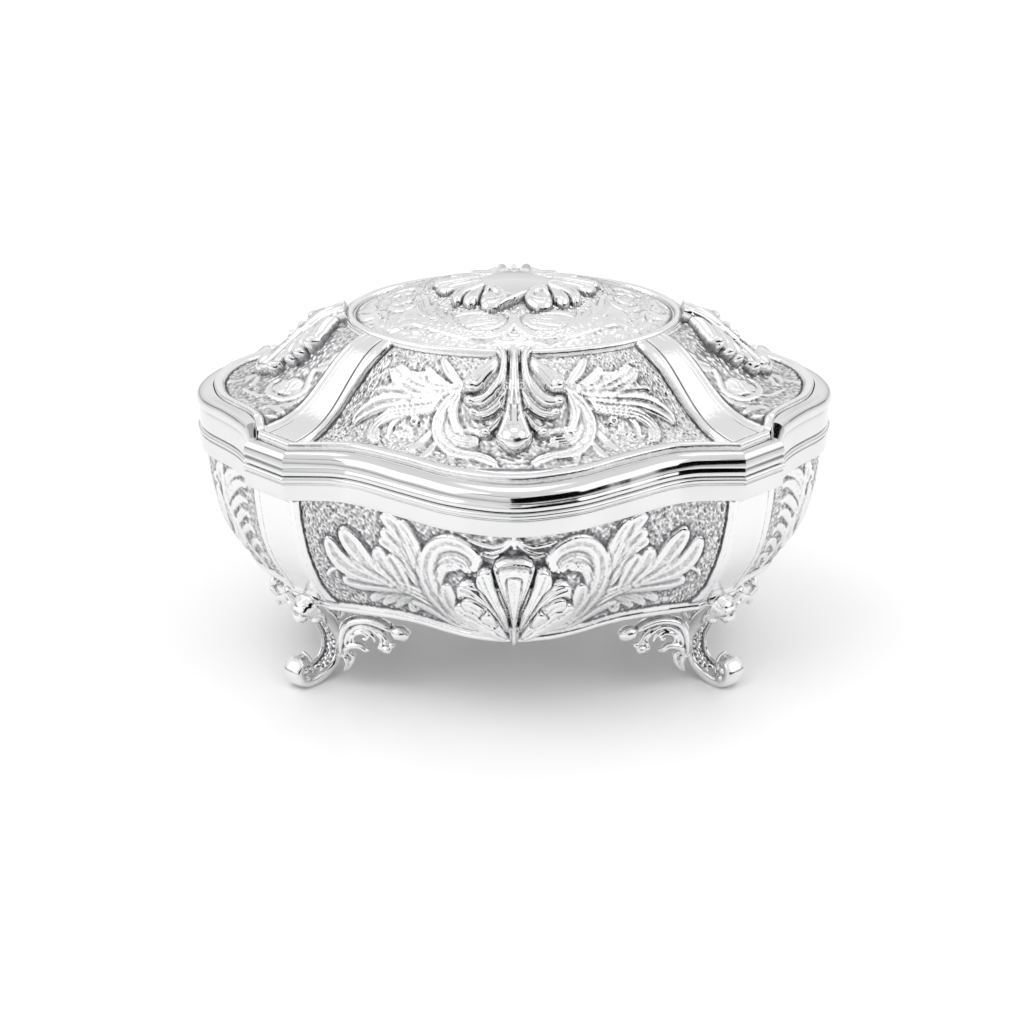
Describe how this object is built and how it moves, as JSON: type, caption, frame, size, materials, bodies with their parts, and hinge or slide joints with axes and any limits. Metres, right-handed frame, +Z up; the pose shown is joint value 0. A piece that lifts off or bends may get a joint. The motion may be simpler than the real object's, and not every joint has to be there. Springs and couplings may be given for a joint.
{
  "type": "jewellery box",
  "caption": "Silver bombe jewellery box of serpentine plan, with acanthus relief panels, scroll feet, a velvet lining and a hinged domed lid with an oval medallion.",
  "frame": {"origin": "on the surface the feet stand on, under the middle of the box", "axes": "+X to the right along the box's length, +Y to the back where the hinge is, +Z up"},
  "size_m": [0.1698, 0.1306, 0.1059],
  "materials": {
    "polished_silver": "polished silver plate on cast alloy",
    "chased_silver": "silver plate, polished relief and edges on a stippled, greyed ground",
    "steel": "bright steel",
    "velvet": "midnight blue velvet"
  },
  "bodies": {
    "box": {"body_shell": "chased_silver", "bottom_plate": "polished_silver", "foot_front_left": "polished_silver", "foot_front_right": "polished_silver", "foot_back_left": "polished_silver", "foot_back_right": "polished_silver", "foot_screw_front_left": "steel", "foot_screw_front_right": "steel", "foot_screw_back_left": "steel", "foot_screw_back_right": "steel", "base_pad": "velvet", "side_lining": "velvet", "body_shell_ornament_front": "polished_silver", "body_shell_ornament_back": "polished_silver", "hinge_leaf_lower": "polished_silver", "hinge_pin": "steel", "hinge_rivet_lower_left": "polished_silver", "hinge_rivet_lower_right": "polished_silver"},
    "lid": {"lid_rim": "polished_silver", "lid_shell": "chased_silver", "top_medallion": "chased_silver", "lid_lining": "velvet", "lid_acanthus_front": "polished_silver", "lid_acanthus_right": "polished_silver", "lid_acanthus_back": "polished_silver", "lid_acanthus_left": "polished_silver", "cartouche_wreath": "polished_silver", "name_plaque": "polished_silver", "hinge_leaf_upper": "polished_silver", "hinge_rivet_upper_left": "polished_silver", "hinge_rivet_upper_right": "polished_silver"}
  },
  "joints": [
    {"name": "lid_hinge", "type": "hinge", "parent": "box", "child": "lid", "pos_m": [0, 0.0644, 0.066], "axis": [-1, 0, 0], "range_deg": [0, 100]}
  ]
}
